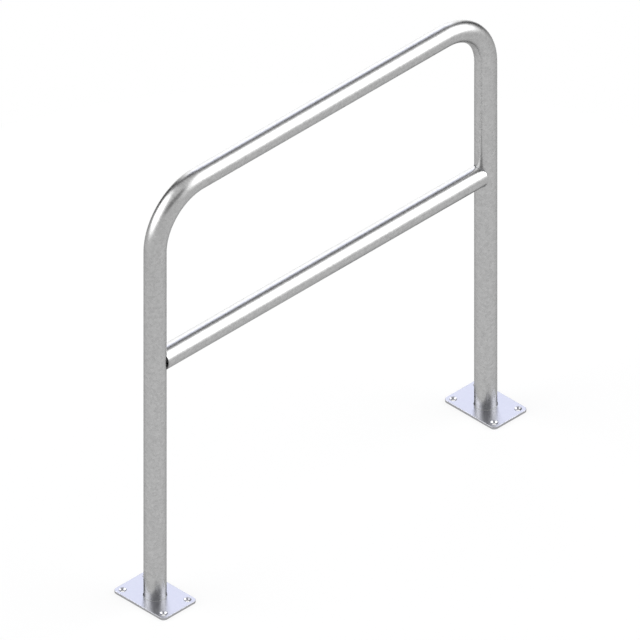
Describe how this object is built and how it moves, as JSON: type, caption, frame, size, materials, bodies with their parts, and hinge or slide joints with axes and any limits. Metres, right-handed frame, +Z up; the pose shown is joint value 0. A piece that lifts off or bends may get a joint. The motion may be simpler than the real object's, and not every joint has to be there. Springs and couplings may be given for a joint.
{
  "type": "hoop barrier",
  "caption": "Bolt-down hoop barrier of galvanised steel tube: an arch with rounded corners and a cross rail, its posts welded to base plates with countersunk bolt holes.",
  "frame": {"origin": "on the ground, midway between the axes of the two posts", "axes": "+X along the rails, +Y across the barrier, +Z up"},
  "size_m": [1.07, 0.15, 1.025],
  "materials": {
    "tube": "hot-dip galvanised, bright",
    "plate": "hot-dip galvanised, bright and flat",
    "weld": "galvanised weld bead"
  },
  "bodies": {
    "root": {"hoop_tube": "tube", "cross_rail": "tube", "left_base_plate": "plate", "right_base_plate": "plate", "left_base_weld": "weld", "right_base_weld": "weld", "left_rail_upper_weld": "weld", "left_rail_lower_weld": "weld", "right_rail_upper_weld": "weld", "right_rail_lower_weld": "weld"}
  },
  "joints": []
}
